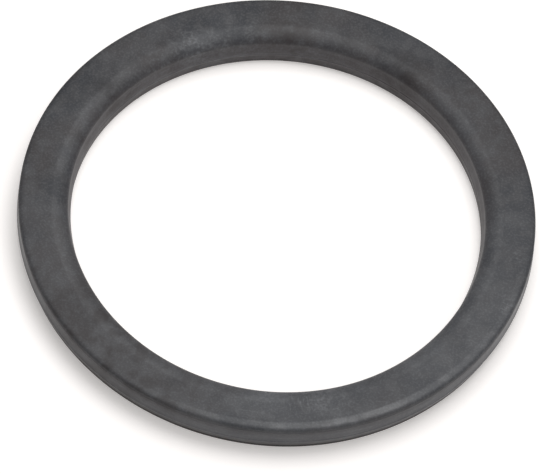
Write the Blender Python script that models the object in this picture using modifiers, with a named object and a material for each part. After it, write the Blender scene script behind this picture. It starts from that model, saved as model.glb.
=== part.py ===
"""Moulded rubber seal for a waste outlet: one solid ring, turned about Z.

The section is a closed outline drawn at +X. From the top down, its outer side has an oval
shoulder, a slight waist and a bead that flares out to the line where the mould parts. Its
inner side has a broader shoulder and a lip that slopes in to the same line. Under the line
both sides are set back, and they end in a small round at the flat foot. Units are metres,
Z is up, and the foot lies on Z = 0.
"""
import math

import bpy

NAME = "seal_ring"

# Widths, from the hole outwards
PLATE_BORE_DIAMETER = 0.0885
PLATE_WIDTH = 0.01075
INNER_SHOULDER_WIDTH = 0.0032
OUTER_SHOULDER_WIDTH = 0.0018
WAIST_DEPTH = 0.00035
BEAD_REACH = 0.00025
LIP_REACH = 0.00055
OUTER_SETBACK = 0.0007
INNER_SETBACK = 0.0001

# Heights: two from the foot, the bead's from the parting line and the drops from the flat top
RING_HEIGHT = 0.0076
PARTING_HEIGHT = 0.0028
BEAD_FLARE_HEIGHT = 0.0014
OUTER_SHOULDER_DROP = 0.0012
INNER_SHOULDER_DROP = 0.0020

# Round of the foot, and the thin raised line that the mould leaves where its halves meet
FOOT_RADIUS = 0.0004
PARTING_LINE_RISE = 0.0001
PARTING_LINE_WIDTH = 0.0003

# How finely the round stretches are divided
RING_STEPS = 96
SHOULDER_PIECES = 6
NECK_PIECES = 3
BEAD_PIECES = 5
LIP_PIECES = 8
BASE_PIECES = 4
FOOT_PIECES = 3

RUBBER_COLOUR = (0.092, 0.093, 0.097, 1.0)
RUBBER_ROUGHNESS = 0.72


def clear_scene():
    for item in list(bpy.data.objects):
        bpy.data.objects.remove(item, do_unlink=True)


def quarter_round(corner_x, corner_z, width, height, facing, turn, pieces):
    """Quarter of an oval tucked into a corner of the section, listed from the top down.

    facing is 1 where the wall looks away from the axis and -1 where it looks towards it.
    turn is 1 for a round at the top of the wall and -1 for one at its foot.
    """
    centre_x = corner_x - facing * width
    centre_z = corner_z - turn * height
    points = []
    for step in range(pieces + 1):
        share = step / pieces if turn > 0 else 1 - step / pieces
        angle = share * math.pi / 2
        x = centre_x + facing * width * math.sin(angle)
        z = centre_z + turn * height * math.cos(angle)
        points.append((x, z))
    return points


def eased_wall(start, end, pieces):
    """Wall that leaves start and reaches end upright, with a smooth slope between them.

    The start itself is left out, because the stretch above ends on it.
    """
    points = []
    for step in range(1, pieces + 1):
        share = step / pieces
        sideways = (1 - math.cos(math.pi * share)) / 2
        x = start[0] + (end[0] - start[0]) * sideways
        z = start[1] + (end[1] - start[1]) * share
        points.append((x, z))
    return points


def base(flare_radius, setback, facing):
    """The raised line at the end of a flare, the wall set back under it, and the foot's round."""
    crest = flare_radius + facing * PARTING_LINE_RISE
    line_foot = (flare_radius, PARTING_HEIGHT - PARTING_LINE_WIDTH / 2)
    wall_foot = (flare_radius - facing * setback, FOOT_RADIUS)
    points = [
        (crest, PARTING_HEIGHT + PARTING_LINE_WIDTH / 4),
        (crest, PARTING_HEIGHT - PARTING_LINE_WIDTH / 4),
        line_foot,
    ]
    points += eased_wall(line_foot, wall_foot, BASE_PIECES)
    points.pop()
    points += quarter_round(wall_foot[0], 0.0, FOOT_RADIUS, FOOT_RADIUS, facing, -1, FOOT_PIECES)
    return points


def outer_side():
    """From the flat top down over the shoulder, the waist and the bead to the foot."""
    edge_radius = PLATE_BORE_DIAMETER / 2 + PLATE_WIDTH
    waist = (edge_radius - WAIST_DEPTH, PARTING_HEIGHT + BEAD_FLARE_HEIGHT)
    bead = (waist[0] + BEAD_REACH, PARTING_HEIGHT + PARTING_LINE_WIDTH / 2)
    points = quarter_round(
        edge_radius, RING_HEIGHT, OUTER_SHOULDER_WIDTH, OUTER_SHOULDER_DROP, 1, 1, SHOULDER_PIECES
    )
    points += eased_wall(points[-1], waist, NECK_PIECES)
    points += eased_wall(waist, bead, BEAD_PIECES)
    points += base(bead[0], OUTER_SETBACK, 1)
    return points


def inner_side():
    """From the flat top down over the broad inner shoulder and the lip to the foot."""
    bore_radius = PLATE_BORE_DIAMETER / 2
    lip = (bore_radius - LIP_REACH, PARTING_HEIGHT + PARTING_LINE_WIDTH / 2)
    points = quarter_round(
        bore_radius, RING_HEIGHT, INNER_SHOULDER_WIDTH, INNER_SHOULDER_DROP, -1, 1, SHOULDER_PIECES
    )
    points += eased_wall(points[-1], lip, LIP_PIECES)
    points += base(lip[0], INNER_SETBACK, -1)
    return points


def section():
    """Closed outline: down the outer side, in along the foot, up the hole, out along the top."""
    return outer_side() + inner_side()[::-1]


def rubber():
    material = bpy.data.materials.new("black_rubber")
    material.use_nodes = True
    shader = material.node_tree.nodes["Principled BSDF"]
    shader.inputs["Base Color"].default_value = RUBBER_COLOUR
    shader.inputs["Roughness"].default_value = RUBBER_ROUGHNESS
    shader.inputs["Metallic"].default_value = 0.0
    return material


def turned_ring(points):
    """Ring swept once round Z from the closed outline."""
    mesh = bpy.data.meshes.new(NAME)
    corners = [(x, 0.0, z) for x, z in points]
    edges = [(index, (index + 1) % len(points)) for index in range(len(points))]
    mesh.from_pydata(corners, edges, [])
    ring = bpy.data.objects.new(NAME, mesh)

    screw = ring.modifiers.new("turn", "SCREW")
    screw.axis = "Z"
    screw.angle = 2 * math.pi
    screw.steps = RING_STEPS
    screw.render_steps = RING_STEPS
    screw.use_merge_vertices = True
    screw.merge_threshold = 0.000001
    screw.use_smooth_shade = True

    flat_faces = ring.modifiers.new("even shading of the flat faces", "WEIGHTED_NORMAL")
    flat_faces.mode = "FACE_AREA"
    return ring


def main():
    clear_scene()
    collection = bpy.data.collections.new("rubber_seal")
    bpy.context.scene.collection.children.link(collection)
    ring = turned_ring(section())
    ring.data.materials.append(rubber())
    collection.objects.link(ring)


main()
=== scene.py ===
"""Looks of the moulded rubber seal: a finely turned ring, its rubber, the floor and the light.

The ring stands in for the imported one. Units are metres, Z is up, and the ring lies on Z = 0
with its axis on Z, as in the frame. Azimuths run round it in degrees: 0 is towards +X, the
right of the photograph, and -90 is towards the camera.
"""

import math

import bpy
from mathutils import Matrix, Vector, noise


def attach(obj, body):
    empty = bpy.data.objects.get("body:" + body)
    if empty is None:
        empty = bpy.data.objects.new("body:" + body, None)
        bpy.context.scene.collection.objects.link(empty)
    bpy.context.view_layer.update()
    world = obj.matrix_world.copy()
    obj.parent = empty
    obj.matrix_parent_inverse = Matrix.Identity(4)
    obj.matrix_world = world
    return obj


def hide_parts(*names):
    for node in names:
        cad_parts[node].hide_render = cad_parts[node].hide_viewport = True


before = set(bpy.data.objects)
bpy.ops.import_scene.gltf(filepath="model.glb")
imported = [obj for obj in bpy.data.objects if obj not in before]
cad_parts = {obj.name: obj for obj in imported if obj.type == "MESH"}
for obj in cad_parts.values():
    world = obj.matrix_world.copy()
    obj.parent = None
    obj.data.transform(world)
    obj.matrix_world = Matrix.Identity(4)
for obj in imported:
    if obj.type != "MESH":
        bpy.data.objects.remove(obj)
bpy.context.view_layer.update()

NODE = "seal_ring"

# Photograph's frame, in pixels, and the camera that matches the ring's outlines in it
FRAME_WIDTH = 550
FOCAL_PIXELS = 10411.4
SENSOR_WIDTH = 36.0
CAMERA_DISTANCE = 2.2
CAMERA_ELEVATION = math.radians(56.27)
CAMERA_ROLL = math.radians(7.13)
CAMERA_TARGET = Vector((0.00019, -0.00657, 0.0076))
CLIP_START = 0.01
CLIP_END = 50.0

# Section of the ring: the part's, with its rounds and flares drawn again from the photograph
PLATE_BORE_DIAMETER = 0.0885
PLATE_WIDTH = 0.010648
RING_HEIGHT = 0.0076
CROWN_WIDTH = 0.0020
CROWN_DROP = 0.0011
CROWN_SQUARENESS = 3.4
WAIST_DEPTH = 0.0003
WAIST_HEIGHT = 0.0053
BEAD_REACH = 0.00034
BEAD_SWEEP = 1.6
INNER_SHOULDER_WIDTH = 0.0048
INNER_SHOULDER_DROP = 0.0020
LIP_REACH = 0.00055
OUTER_PARTING_HEIGHT = 0.0031
INNER_PARTING_HEIGHT = 0.0027
OUTER_LINE_RISE = 0.00006
INNER_LINE_RISE = 0.00008
PARTING_LINE_WIDTH = 0.0003
OUTER_SETBACK = 0.0007
INNER_SETBACK = 0.0001
FOOT_RADIUS = 0.0004

# How the soft ring lies: out of round in faint lobes, the first at this azimuth, with soft dips
OUT_OF_ROUND = 0.000187
LOBES = 3
LOBE_AZIMUTH = math.radians(45.0)
SAG = 0.00007
SAG_SIZE = 0.011

# Fineness of the scene's ring
RING_STEPS = 720
SHOULDER_PIECES = 20
NECK_PIECES = 6
BEAD_PIECES = 6
LIP_PIECES = 14
BASE_PIECES = 8
FOOT_PIECES = 4
TOP_PIECES = 12
UNDERSIDE_PIECES = 4
MERGE_DISTANCE = 0.000001

# Rubber: its greys, the pale colour of bloom and of painted light, the dark colour of grime and of
# painted shade, and how large the lumps and specks in it are
GREY = (0.0235, 0.0225, 0.0245, 1.0)
WARM_GREY = (0.028, 0.024, 0.025, 1.0)
BLUE_GREY = (0.021, 0.0225, 0.0275, 1.0)
# Paler wall greys: painted reflection of the white floor in the walls, with the walls' own warm
# and purple tint
OUTER_WALL_REFLECTION_GREY = (0.0355, 0.035, 0.043, 1.0)
INNER_WALL_REFLECTION_GREY = (0.056, 0.047, 0.050, 1.0)
# Pale colour of the bloom and of the painted light, highlights and reflection
PALE_BLOOM_AND_LIGHT = (0.114, 0.117, 0.125, 1.0)
# Dark brown colour of the painted shade and of the brownish grime
PAINTED_SHADE_AND_GRIME = (0.016, 0.011, 0.010, 1.0)
CLOUD_SIZE = 0.010
TINT_SIZE = 0.016
MOTTLE_SIZE = 0.0028
SPECKLE_SIZE = 0.0007
SPECK_SIZE = 0.00045
SOFT_DETAIL = 2.0
FINE_DETAIL = 3.0

# Streaks are long across the band and grazes are long round the walls: how far each goes
# round the ring, and its size the other way
MEAN_RADIUS = 0.050
STREAK_ARC = 0.0005
STREAK_LENGTH = 0.0018
GRAZE_ARC = 0.007
GRAZE_WIDTH = 0.0004

# Zones that begin smoothly: the radius or the height at which each is 0, and where it is 1
OUTSIDE_RADII = (0.0525, 0.0535)
INSIDE_RADII = (0.0460, 0.0450)
WALL_HEIGHTS = (0.0074, 0.0044)
OUTER_WALL_HEIGHTS = (0.0066, 0.0050)
CROWN_HEIGHTS = (0.0066, 0.0070)
INNER_CROWN_HEIGHTS = (0.0060, 0.0066)
FOOT_HEIGHTS = (0.0031, 0.0022)
SOLE_HEIGHTS = (0.0024, 0.0012)
INNER_FOOT_HEIGHTS = (0.0026, 0.0018)

# Zones with two ends: the radii or heights between which each is 1, and its fade beyond them
CROWN_RADII = (0.0532, 0.0544, 0.0005)
INNER_CROWN_RADII = (0.0455, 0.0475, 0.0008)
WAIST_HEIGHTS = (0.0052, 0.0064, 0.0006)
BEAD_HEIGHTS = (0.0031, 0.0042, 0.0005)
INNER_LINE_HEIGHTS = (0.0026, 0.0029, 0.00025)

# Spots: azimuth, radius, height and reach
# Spot on the near crown where the crest catches the light: its smoother rubber and its painted
# highlight go there
CROWN_HIGHLIGHT_SPOT = (-66.0, 0.0538, 0.0076, 0.062)
# Stretch of the inner mould line that gets a painted highlight
INNER_LINE_HIGHLIGHT_SPOT = (127.0, 0.0437, 0.0028, 0.060)
# Two spots on the near top where painted light makes it paler, standing in for the lamps' falloff
RIGHT_LIGHT_SPOT = (-50.0, 0.050, 0.0076, 0.090)
LEFT_LIGHT_SPOT = (-132.0, 0.050, 0.0076, 0.070)
# Pale spots: bloom, and on the inner shoulder at 120 a painted highlight
BLOOM_AND_HIGHLIGHT_SPOTS = [
    (-72.0, 0.0480, 0.0076, 0.0075),
    (-86.0, 0.0475, 0.0076, 0.0060),
    (106.0, 0.0446, 0.0042, 0.0100),
    (118.0, 0.0445, 0.0048, 0.0085),
    (131.0, 0.0446, 0.0052, 0.0070),
    # Painted highlight on the inner shoulder
    (120.0, 0.0468, 0.0070, 0.0060),
    (88.0, 0.0445, 0.0040, 0.0060),
]
# Darker spots on the inner shoulder, and at the near-left foot one that is painted shadow
DARK_SPOTS = [
    (147.0, 0.0452, 0.0060, 0.0080),
    (92.0, 0.0462, 0.0066, 0.0070),
    (60.0, 0.0458, 0.0064, 0.0110),
    # Painted shadow at the near-left foot
    (-128.0, 0.0545, 0.0010, 0.0320),
]
SCUFF_SPOTS = [
    (-4.0, 0.0525, 0.0076, 0.0030),
    (-18.0, 0.0528, 0.0076, 0.0034),
    (-57.0, 0.0538, 0.0074, 0.0016),
    (-78.0, 0.0475, 0.0076, 0.0060),
]

# Amounts. One with four numbers follows a noise: where in the noise it begins and ends, and
# the amounts there. One with two numbers goes from 0 to 1.
BLUE_SHARE = (0.42, 0.60)
GREY_SHARE = (0.40, 0.62, 0.0, 0.7)
# How far the walls go over to their paler greys, the painted reflection of the floor
WALL_REFLECTION_SHARE = 0.8

CLOUD_HAZE = (0.38, 0.64, 0.0, 0.13)
MOTTLE_HAZE = (0.40, 0.66, 0.0, 0.11)
SPECK_HAZE = (0.44, 0.70, 0.0, 0.22)
# Painted light on the near top: how much paler it goes at the right spot and at the left spot
RIGHT_PAINTED_LIGHT = 0.28
LEFT_PAINTED_LIGHT = 0.15
WALL_HAZE = (0.48, 0.70, 0.0, 0.16)
# Painted highlight on the near crown, following the mottle
CROWN_PAINTED_HIGHLIGHT = (0.38, 0.62, 0.06, 0.15)
# Painted reflection of the floor on the bead, following the grazes
BEAD_PAINTED_REFLECTION = (0.35, 0.65, 0.10, 0.24)
INNER_CROWN_HAZE = (0.35, 0.65, 0.0, 0.10)
# Painted highlight along the inner mould line, following the grazes
INNER_LINE_PAINTED_HIGHLIGHT = (0.35, 0.60, 0.20, 0.60)
SCUFF_HAZE = (0.54, 0.64, 0.0, 0.35)
BLOOM_HAZE = 0.10
SPECKLE_HAZE = 0.30
COARSE_SPECKLE = (0.40, 0.64)
MOTTLE_SPECKLE = (0.36, 0.60)

# Painted shade in the waist under the crown
WAIST_PAINTED_SHADE = 0.15
# Painted shade along the outer foot, with some brownish grime
FOOT_SHADE_AND_GRIME = 0.5
# Painted contact shadow at the outer sole, patchy with the clouds
SOLE_PAINTED_SHADOW = (0.40, 0.55, 0.20, 0.34)
# Painted shade under the inner lip, with some brownish grime, following the mottle
INNER_FOOT_SHADE_AND_GRIME = (0.60, 0.35, 0.10, 0.40)
# How dark the spots go, following the mottle; at the near-left foot this is painted shadow
SPOT_DARKENING = (0.60, 0.35, 0.20, 0.60)

CLOUD_ROUGHNESS = (0.35, 0.65, 0.595, 0.575)
MOTTLE_ROUGHNESS = (0.38, 0.62, 0.010, -0.010)
# Extra roughness in the waist and along the foot
WAIST_AND_FOOT_ROUGHNESS = 0.10
OUTER_WALL_POLISH = 0.18
WALL_POLISH = 0.10
INNER_CROWN_POLISH = 0.08
WORN_POLISH = (0.35, 0.65, 0.15, 0.21)

SPECULAR = 0.37
OUTER_WALL_SPECULAR = 0.12
WALL_SPECULAR = 0.04
FOOT_DULLNESS = 0.16
SOLE_DULLNESS = 0.22

SPECK_RELIEF = 0.5
MOTTLE_RELIEF = 1.2
GRAZE_RELIEF = 0.5
BUMP_DISTANCE = 0.00005
BUMP_STRENGTH = 0.7

# Floor, and how much brighter than it is lit it looks, so that it is white past the shadow
FLOOR_RADIUS = 4.0
FLOOR_CORNERS = 96
FLOOR_COLOUR = (0.87, 0.845, 0.83, 1.0)
FLOOR_ROUGHNESS = 0.9
FLOOR_GLOW = (1.0, 0.97, 0.95, 1.0)
FLOOR_LIFT = 0.31

# Light: the world's, and the soft lamps' azimuth, elevation, size and power
WORLD_COLOUR = (1.0, 1.0, 1.0, 1.0)
WORLD_STRENGTH = 0.36
LAMP_DISTANCE = 0.8
LAMPS = {
    "key": (80.0, 68.0, 0.62, 3.9),
    "side": (15.0, 70.0, 0.45, 0.7),
    "front": (-45.0, 35.0, 0.45, 0.5),
}

# Sockets of a Mix node that mixes colours
MIX_FACTOR = 0
MIX_A = 6
MIX_B = 7
MIX_RESULT = 2


def quarter_round(corner_x, corner_z, width, height, facing, turn, pieces, squareness=2.0):
    """Quarter of an oval tucked into a corner of the section, listed from the top down.

    facing is 1 where the wall looks away from the axis and -1 where it looks towards it.
    turn is 1 for a round at the top of the wall and -1 for one at its foot. A squareness
    above 2 fills the corner more than an oval does.
    """
    centre_x = corner_x - facing * width
    centre_z = corner_z - turn * height
    points = []
    for step in range(pieces + 1):
        share = step / pieces if turn > 0 else 1 - step / pieces
        angle = share * math.pi / 2
        x = centre_x + facing * width * math.sin(angle) ** (2 / squareness)
        z = centre_z + turn * height * max(math.cos(angle), 0.0) ** (2 / squareness)
        points.append((x, z))
    return points


def swept_flare(start, end, pieces):
    """Wall that leaves start upright and leans out more and more; the start is left out."""
    points = []
    for step in range(1, pieces + 1):
        share = step / pieces
        x = start[0] + (end[0] - start[0]) * share ** BEAD_SWEEP
        z = start[1] + (end[1] - start[1]) * share
        points.append((x, z))
    return points


def eased_wall(start, end, pieces):
    """Wall that leaves start and reaches end upright; the start itself is left out."""
    points = []
    for step in range(1, pieces + 1):
        share = step / pieces
        sideways = (1 - math.cos(math.pi * share)) / 2
        x = start[0] + (end[0] - start[0]) * sideways
        z = start[1] + (end[1] - start[1]) * share
        points.append((x, z))
    return points


def straight(start, end, pieces):
    """Points between start and end, with neither of them."""
    points = []
    for step in range(1, pieces):
        share = step / pieces
        x = start[0] + (end[0] - start[0]) * share
        z = start[1] + (end[1] - start[1]) * share
        points.append((x, z))
    return points


def base(flare_radius, parting_height, line_rise, setback, facing):
    """The raised line at the end of a flare, the wall set back under it, and the foot's round."""
    crest = flare_radius + facing * line_rise
    line_foot = (flare_radius, parting_height - PARTING_LINE_WIDTH / 2)
    wall_foot = (flare_radius - facing * setback, FOOT_RADIUS)
    points = [
        (crest, parting_height + PARTING_LINE_WIDTH / 4),
        (crest, parting_height - PARTING_LINE_WIDTH / 4),
        line_foot,
    ]
    points += eased_wall(line_foot, wall_foot, BASE_PIECES)
    points.pop()
    points += quarter_round(wall_foot[0], 0.0, FOOT_RADIUS, FOOT_RADIUS, facing, -1, FOOT_PIECES)
    return points


def outer_side():
    """From the flat top down over the crown, the waist and the bead to the foot."""
    edge_radius = PLATE_BORE_DIAMETER / 2 + PLATE_WIDTH
    waist = (edge_radius - WAIST_DEPTH, WAIST_HEIGHT)
    bead = (waist[0] + BEAD_REACH, OUTER_PARTING_HEIGHT + PARTING_LINE_WIDTH / 2)
    points = quarter_round(
        edge_radius, RING_HEIGHT, CROWN_WIDTH, CROWN_DROP, 1, 1, SHOULDER_PIECES, CROWN_SQUARENESS
    )
    points += eased_wall(points[-1], waist, NECK_PIECES)
    points += swept_flare(waist, bead, BEAD_PIECES)
    points += base(bead[0], OUTER_PARTING_HEIGHT, OUTER_LINE_RISE, OUTER_SETBACK, 1)
    return points


def inner_side():
    """From the flat top down over the broad inner shoulder and the lip to the foot."""
    bore_radius = PLATE_BORE_DIAMETER / 2
    lip = (bore_radius - LIP_REACH, INNER_PARTING_HEIGHT + PARTING_LINE_WIDTH / 2)
    points = quarter_round(
        bore_radius, RING_HEIGHT, INNER_SHOULDER_WIDTH, INNER_SHOULDER_DROP, -1, 1, SHOULDER_PIECES
    )
    points += eased_wall(points[-1], lip, LIP_PIECES)
    points += base(lip[0], INNER_PARTING_HEIGHT, INNER_LINE_RISE, INNER_SETBACK, -1)
    return points


def section():
    """Closed outline: down the outer side, in along the foot, up the hole, out along the top."""
    outer = outer_side()
    inner = inner_side()[::-1]
    underside = straight(outer[-1], inner[0], UNDERSIDE_PIECES)
    top = straight(inner[-1], outer[0], TOP_PIECES)
    return outer + underside + inner + top


def lobe(azimuth):
    """How much farther out than a true circle the ring lies at this azimuth, in radians."""
    return OUT_OF_ROUND * math.cos(LOBES * (azimuth - LOBE_AZIMUTH))


def lay_down(mesh):
    """Push each point out or in by its lobe and down by its dip, then centre the ring's box."""
    sideways = (lobe(math.pi) - lobe(0.0)) / 2
    lengthways = (lobe(-math.pi / 2) - lobe(math.pi / 2)) / 2
    for vertex in mesh.vertices:
        azimuth = math.atan2(vertex.co.y, vertex.co.x)
        sag = SAG * (1 + noise.noise(vertex.co / SAG_SIZE)) / 2
        vertex.co.z -= sag * vertex.co.z / RING_HEIGHT
        vertex.co.x += lobe(azimuth) * math.cos(azimuth) + sideways
        vertex.co.y += lobe(azimuth) * math.sin(azimuth) + lengthways


def turned_ring():
    """The fine ring: the section swept once round Z, with its modifier applied, and laid down."""
    points = section()
    outline = bpy.data.meshes.new("seal_section")
    edges = [(index, (index + 1) % len(points)) for index in range(len(points))]
    outline.from_pydata([(x, 0.0, z) for x, z in points], edges, [])
    ring = bpy.data.objects.new("moulded_ring", outline)
    bpy.context.scene.collection.objects.link(ring)

    screw = ring.modifiers.new("turn", "SCREW")
    screw.angle = 2 * math.pi
    screw.steps = RING_STEPS
    screw.render_steps = RING_STEPS
    screw.use_merge_vertices = True
    screw.merge_threshold = MERGE_DISTANCE
    screw.use_smooth_shade = True

    bpy.context.view_layer.update()
    evaluated = ring.evaluated_get(bpy.context.evaluated_depsgraph_get())
    turned = bpy.data.meshes.new_from_object(evaluated)
    ring.modifiers.clear()
    ring.data = turned
    lay_down(turned)
    return ring


def wire(tree, socket, value):
    """Link another node's output to this socket, or set the socket to a plain value."""
    if isinstance(value, bpy.types.NodeSocket):
        tree.links.new(value, socket)
    else:
        socket.default_value = value


def maths(tree, operation, a, b=0.0):
    """Result of a Math node."""
    node = tree.nodes.new("ShaderNodeMath")
    node.operation = operation
    wire(tree, node.inputs[0], a)
    wire(tree, node.inputs[1], b)
    return node.outputs[0]


def product(tree, *values):
    """All the values multiplied."""
    result = values[0]
    for value in values[1:]:
        result = maths(tree, "MULTIPLY", result, value)
    return result


def total(tree, *values):
    """All the values added up."""
    result = values[0]
    for value in values[1:]:
        result = maths(tree, "ADD", result, value)
    return result


def less(tree, value, *cuts):
    """Value with each of the cuts taken off."""
    for cut in cuts:
        value = maths(tree, "SUBTRACT", value, cut)
    return value


def spread(tree, value, low, high, to_low=0.0, to_high=1.0):
    """Value as it goes smoothly from low to high, turned into to_low to to_high."""
    node = tree.nodes.new("ShaderNodeMapRange")
    node.interpolation_type = "SMOOTHSTEP"
    wire(tree, node.inputs["Value"], value)
    wire(tree, node.inputs["From Min"], low)
    wire(tree, node.inputs["From Max"], high)
    wire(tree, node.inputs["To Min"], to_low)
    wire(tree, node.inputs["To Max"], to_high)
    return node.outputs["Result"]


def band(tree, value, start, end, fade):
    """1 between start and end, and 0 beyond a smooth fade on either side."""
    rise = spread(tree, value, start - fade, start)
    fall = spread(tree, value, end, end + fade, 1.0, 0.0)
    return product(tree, rise, fall)


def point(tree, x, y, z):
    """Vector with these coordinates."""
    node = tree.nodes.new("ShaderNodeCombineXYZ")
    wire(tree, node.inputs["X"], x)
    wire(tree, node.inputs["Y"], y)
    wire(tree, node.inputs["Z"], z)
    return node.outputs["Vector"]


def lumps(tree, place, size, detail=SOFT_DETAIL):
    """Cloudy noise, mostly 0.3 to 0.7, with lumps of this size."""
    node = tree.nodes.new("ShaderNodeTexNoise")
    wire(tree, node.inputs["Vector"], place)
    node.inputs["Scale"].default_value = 1 / size
    node.inputs["Detail"].default_value = detail
    return node.outputs["Fac"]


def blend(tree, factor, a, b):
    """Colour a where the factor is 0, going over to b where it is 1."""
    node = tree.nodes.new("ShaderNodeMix")
    node.data_type = "RGBA"
    wire(tree, node.inputs[MIX_FACTOR], factor)
    wire(tree, node.inputs[MIX_A], a)
    wire(tree, node.inputs[MIX_B], b)
    return node.outputs[MIX_RESULT]


def near(tree, place, azimuth, radius, height, reach):
    """1 at a spot of the ring, fading to 0 at this reach from it."""
    a = math.radians(azimuth)
    node = tree.nodes.new("ShaderNodeVectorMath")
    node.operation = "DISTANCE"
    wire(tree, node.inputs[0], place)
    node.inputs[1].default_value = (radius * math.cos(a), radius * math.sin(a), height)
    return spread(tree, node.outputs["Value"], 0.0, reach, 1.0, 0.0)


def rubber_grain(tree, place, x, y, radius, height):
    """The noises in the rubber, from broad clouds to specks, and those drawn out one way."""
    across = maths(tree, "DIVIDE", x, radius)
    along = maths(tree, "DIVIDE", y, radius)

    def drawn_out(arc, other_way):
        turns = MEAN_RADIUS / arc
        stretched = point(
            tree, product(tree, across, turns), product(tree, along, turns), other_way
        )
        return lumps(tree, stretched, 1.0)

    return {
        "clouds": lumps(tree, place, CLOUD_SIZE, FINE_DETAIL),
        "tints": lumps(tree, place, TINT_SIZE),
        "mottle": lumps(tree, place, MOTTLE_SIZE, FINE_DETAIL),
        "speckle": lumps(tree, place, SPECKLE_SIZE, FINE_DETAIL),
        "specks": lumps(tree, place, SPECK_SIZE),
        "streaks": drawn_out(STREAK_ARC, product(tree, radius, 1 / STREAK_LENGTH)),
        "grazes": drawn_out(GRAZE_ARC, product(tree, height, 1 / GRAZE_WIDTH)),
    }


def ring_zones(tree, place, radius, height):
    """The zones of the ring, each 1 in its place and 0 elsewhere."""
    outside = spread(tree, radius, *OUTSIDE_RADII)
    inside = spread(tree, radius, *INSIDE_RADII)
    crown = product(
        tree, band(tree, radius, *CROWN_RADII), spread(tree, height, *CROWN_HEIGHTS)
    )
    inner_crown = product(
        tree, band(tree, radius, *INNER_CROWN_RADII), spread(tree, height, *INNER_CROWN_HEIGHTS)
    )
    inner_line = product(tree, inside, band(tree, height, *INNER_LINE_HEIGHTS))
    return {
        "outside": outside,
        "wall": spread(tree, height, *WALL_HEIGHTS),
        "outer_wall": product(tree, outside, spread(tree, height, *OUTER_WALL_HEIGHTS)),
        # Near crown: smoother, and with a painted highlight
        "worn_and_lit_crown": product(tree, crown, near(tree, place, *CROWN_HIGHLIGHT_SPOT)),
        "waist": product(tree, outside, band(tree, height, *WAIST_HEIGHTS)),
        "bead": product(tree, outside, band(tree, height, *BEAD_HEIGHTS)),
        "foot": product(tree, outside, spread(tree, height, *FOOT_HEIGHTS)),
        "sole": product(tree, outside, spread(tree, height, *SOLE_HEIGHTS)),
        "inner_line": product(tree, inner_line, near(tree, place, *INNER_LINE_HIGHLIGHT_SPOT)),
        "inner_foot": product(tree, inside, spread(tree, height, *INNER_FOOT_HEIGHTS)),
        "inner_crown": inner_crown,
    }


def bloom_and_painted_light(tree, place, grain, zone):
    """How much of the pale colour goes on: bloom in a haze all over, in spots and in scuffs,
    painted light on the near top, painted highlights on the near crown, the inner mould line and
    one inner shoulder spot, and painted reflection of the floor on the bead.
    """
    layers = [
        spread(tree, grain["clouds"], *CLOUD_HAZE),
        spread(tree, grain["mottle"], *MOTTLE_HAZE),
        spread(tree, grain["specks"], *SPECK_HAZE),
        # Painted light: the near top paler at the right and at the left
        product(tree, near(tree, place, *RIGHT_LIGHT_SPOT), RIGHT_PAINTED_LIGHT),
        product(tree, near(tree, place, *LEFT_LIGHT_SPOT), LEFT_PAINTED_LIGHT),
        product(tree, zone["wall"], spread(tree, grain["grazes"], *WALL_HAZE)),
        # Painted highlight on the near crown
        product(tree, zone["worn_and_lit_crown"], spread(tree, grain["mottle"], *CROWN_PAINTED_HIGHLIGHT)),
        # Painted reflection of the floor on the bead
        product(tree, zone["bead"], spread(tree, grain["grazes"], *BEAD_PAINTED_REFLECTION)),
        product(tree, zone["inner_crown"], spread(tree, grain["clouds"], *INNER_CROWN_HAZE)),
        # Painted highlight along the inner mould line
        product(tree, zone["inner_line"], spread(tree, grain["grazes"], *INNER_LINE_PAINTED_HIGHLIGHT)),
    ]
    speckle = product(
        tree,
        spread(tree, grain["speckle"], *COARSE_SPECKLE),
        spread(tree, grain["mottle"], *MOTTLE_SPECKLE),
    )
    patch = total(tree, product(tree, speckle, SPECKLE_HAZE), BLOOM_HAZE)
    scuffs = spread(tree, grain["streaks"], *SCUFF_HAZE)
    # Bloom spots, one of them a painted highlight
    layers += [product(tree, near(tree, place, *spot), patch) for spot in BLOOM_AND_HIGHLIGHT_SPOTS]
    layers += [product(tree, near(tree, place, *spot), scuffs) for spot in SCUFF_SPOTS]
    return total(tree, *layers)


def painted_shade_and_grime(tree, place, grain, zone):
    """How much of the dark colour goes on: painted shade in the waist, painted shade with brownish
    grime along both feet, painted contact shadow at the outer sole, and darker spots, one of them
    painted shadow.
    """
    layers = [
        # Painted shade in the waist
        product(tree, zone["waist"], WAIST_PAINTED_SHADE),
        # Painted shade along the outer foot, with some brownish grime
        product(tree, zone["foot"], FOOT_SHADE_AND_GRIME),
        # Painted contact shadow at the outer sole
        product(tree, zone["sole"], spread(tree, grain["clouds"], *SOLE_PAINTED_SHADOW)),
        # Painted shade under the inner lip, with some brownish grime
        product(tree, zone["inner_foot"], spread(tree, grain["mottle"], *INNER_FOOT_SHADE_AND_GRIME)),
    ]
    patch = spread(tree, grain["mottle"], *SPOT_DARKENING)
    # Darker spots, the one at the near-left foot painted shadow
    layers += [product(tree, near(tree, place, *spot), patch) for spot in DARK_SPOTS]
    return total(tree, *layers)


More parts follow.
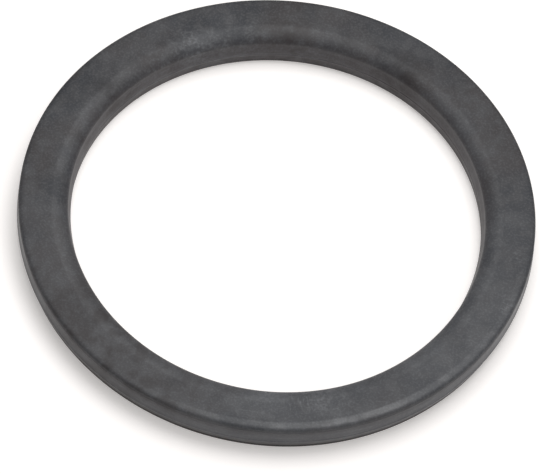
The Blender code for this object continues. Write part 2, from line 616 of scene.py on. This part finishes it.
def rubber_colour(tree, place, grain, zone):
    """Cloudy warm and blue greys, paler on the walls as a painted reflection of the floor with
    their own tint, under bloom with painted light and highlights, and under painted shade with
    grime.
    """
    colour = blend(tree, spread(tree, grain["tints"], *BLUE_SHARE), WARM_GREY, BLUE_GREY)
    colour = blend(tree, spread(tree, grain["mottle"], *GREY_SHARE), colour, GREY)
    # The walls go paler: painted reflection of the floor, with their own tint
    wall_reflection_grey = blend(tree, zone["outside"], INNER_WALL_REFLECTION_GREY, OUTER_WALL_REFLECTION_GREY)
    colour = blend(tree, product(tree, zone["wall"], WALL_REFLECTION_SHARE), colour, wall_reflection_grey)
    colour = blend(tree, bloom_and_painted_light(tree, place, grain, zone), colour, PALE_BLOOM_AND_LIGHT)
    return blend(tree, painted_shade_and_grime(tree, place, grain, zone), colour, PAINTED_SHADE_AND_GRIME)


def rubber_roughness(tree, grain, zone):
    """Matt, more so in the waist and along the foot, and smoother on the walls and the near crown.
    """
    # Waist and foot, where painted shade and grime lie, are rougher
    waist_and_foot = total(tree, zone["waist"], zone["foot"])
    roughness = total(
        tree,
        spread(tree, grain["clouds"], *CLOUD_ROUGHNESS),
        spread(tree, grain["mottle"], *MOTTLE_ROUGHNESS),
        product(tree, waist_and_foot, WAIST_AND_FOOT_ROUGHNESS),
    )
    return less(
        tree,
        roughness,
        product(tree, zone["outer_wall"], OUTER_WALL_POLISH),
        product(tree, zone["wall"], WALL_POLISH),
        product(tree, zone["inner_crown"], INNER_CROWN_POLISH),
        product(tree, zone["worn_and_lit_crown"], spread(tree, grain["mottle"], *WORN_POLISH)),
    )


def rubber_specular(tree, zone):
    """Shinier on the walls, and dull along the foot."""
    specular = total(
        tree,
        product(tree, zone["outer_wall"], OUTER_WALL_SPECULAR),
        product(tree, zone["wall"], WALL_SPECULAR),
        SPECULAR,
    )
    return less(
        tree,
        specular,
        product(tree, zone["foot"], FOOT_DULLNESS),
        product(tree, zone["sole"], SOLE_DULLNESS),
    )


def rubber_bump(tree, grain, zone):
    """Fine relief: specks and mottle all over, and grazes on the walls."""
    bump = tree.nodes.new("ShaderNodeBump")
    bump.inputs["Distance"].default_value = BUMP_DISTANCE
    bump.inputs["Strength"].default_value = BUMP_STRENGTH
    relief = total(
        tree,
        product(tree, grain["specks"], SPECK_RELIEF),
        product(tree, grain["mottle"], MOTTLE_RELIEF),
        product(tree, zone["wall"], grain["grazes"], GRAZE_RELIEF),
    )
    wire(tree, bump.inputs["Height"], relief)
    return bump.outputs["Normal"]


def rubber():
    """Matt black rubber with bloom, grime, scuffs across the band and a smoother near crown; its
    paler colour also paints light, highlights and the floor's reflection, and its darker colour
    paints shade.
    """
    material = bpy.data.materials.new("black_rubber")
    material.use_nodes = True
    tree = material.node_tree
    shader = tree.nodes["Principled BSDF"]
    place = tree.nodes.new("ShaderNodeTexCoord").outputs["Object"]
    split = tree.nodes.new("ShaderNodeSeparateXYZ")
    wire(tree, split.inputs["Vector"], place)
    x, y, height = split.outputs["X"], split.outputs["Y"], split.outputs["Z"]
    radius = maths(tree, "SQRT", total(tree, product(tree, x, x), product(tree, y, y)))

    grain = rubber_grain(tree, place, x, y, radius, height)
    zone = ring_zones(tree, place, radius, height)
    wire(tree, shader.inputs["Base Color"], rubber_colour(tree, place, grain, zone))
    wire(tree, shader.inputs["Roughness"], rubber_roughness(tree, grain, zone))
    wire(tree, shader.inputs["Specular IOR Level"], rubber_specular(tree, zone))
    wire(tree, shader.inputs["Normal"], rubber_bump(tree, grain, zone))
    return material


def floor():
    """Pale floor that looks white past the ring's shadow."""
    bpy.ops.mesh.primitive_circle_add(
        vertices=FLOOR_CORNERS, radius=FLOOR_RADIUS, fill_type="NGON"
    )
    ground = bpy.context.object
    ground.name = "floor"
    material = bpy.data.materials.new("white_floor")
    material.use_nodes = True
    tree = material.node_tree
    shader = tree.nodes["Principled BSDF"]
    shader.inputs["Base Color"].default_value = FLOOR_COLOUR
    shader.inputs["Roughness"].default_value = FLOOR_ROUGHNESS
    shader.inputs["Specular IOR Level"].default_value = 0.0
    shader.inputs["Emission Color"].default_value = FLOOR_GLOW
    path = tree.nodes.new("ShaderNodeLightPath").outputs
    seen = total(
        tree, path["Is Camera Ray"], path["Is Glossy Ray"], path["Is Transmission Ray"]
    )
    wire(tree, shader.inputs["Emission Strength"], product(tree, seen, FLOOR_LIFT))
    ground.data.materials.append(material)


def softbox(name, azimuth, elevation, size, power):
    """Round soft lamp that hangs in this direction from the ring and looks at it."""
    data = bpy.data.lights.new(name, "AREA")
    data.shape = "DISK"
    data.size = size
    data.energy = power
    lamp = bpy.data.objects.new(name, data)
    bpy.context.scene.collection.objects.link(lamp)
    a = math.radians(azimuth)
    e = math.radians(elevation)
    way = Vector((math.cos(e) * math.cos(a), math.cos(e) * math.sin(a), math.sin(e)))
    aim = way.to_track_quat("Z", "Y").to_matrix().to_4x4()
    lamp.matrix_world = Matrix.Translation(way * LAMP_DISTANCE) @ aim


def light():
    """White world and soft lamps, at a plain level."""
    world = bpy.data.worlds.new("studio")
    bpy.context.scene.world = world
    world.use_nodes = True
    background = world.node_tree.nodes["Background"]
    background.inputs["Color"].default_value = WORLD_COLOUR
    background.inputs["Strength"].default_value = WORLD_STRENGTH
    for name, settings in LAMPS.items():
        softbox(name, *settings)


def place_camera():
    """The camera that took the photograph: long, high and slightly rolled."""
    data = bpy.data.cameras.new("camera")
    data.sensor_width = SENSOR_WIDTH
    data.lens = FOCAL_PIXELS / FRAME_WIDTH * SENSOR_WIDTH
    data.clip_start = CLIP_START
    data.clip_end = CLIP_END
    camera = bpy.data.objects.new("camera", data)
    bpy.context.scene.collection.objects.link(camera)
    away = Vector((0.0, -math.cos(CAMERA_ELEVATION), math.sin(CAMERA_ELEVATION)))
    aim = (-away).to_track_quat("-Z", "Y").to_matrix().to_4x4()
    roll = Matrix.Rotation(CAMERA_ROLL, 4, "Z")
    camera.matrix_world = Matrix.Translation(CAMERA_TARGET + away * CAMERA_DISTANCE) @ aim @ roll
    bpy.context.scene.camera = camera


def main():
    place_camera()
    light()
    floor()
    ring = turned_ring()
    ring.data.materials.append(rubber())
    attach(ring, "root")
    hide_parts(NODE)
    bpy.context.scene.view_settings.view_transform = "Standard"


main()
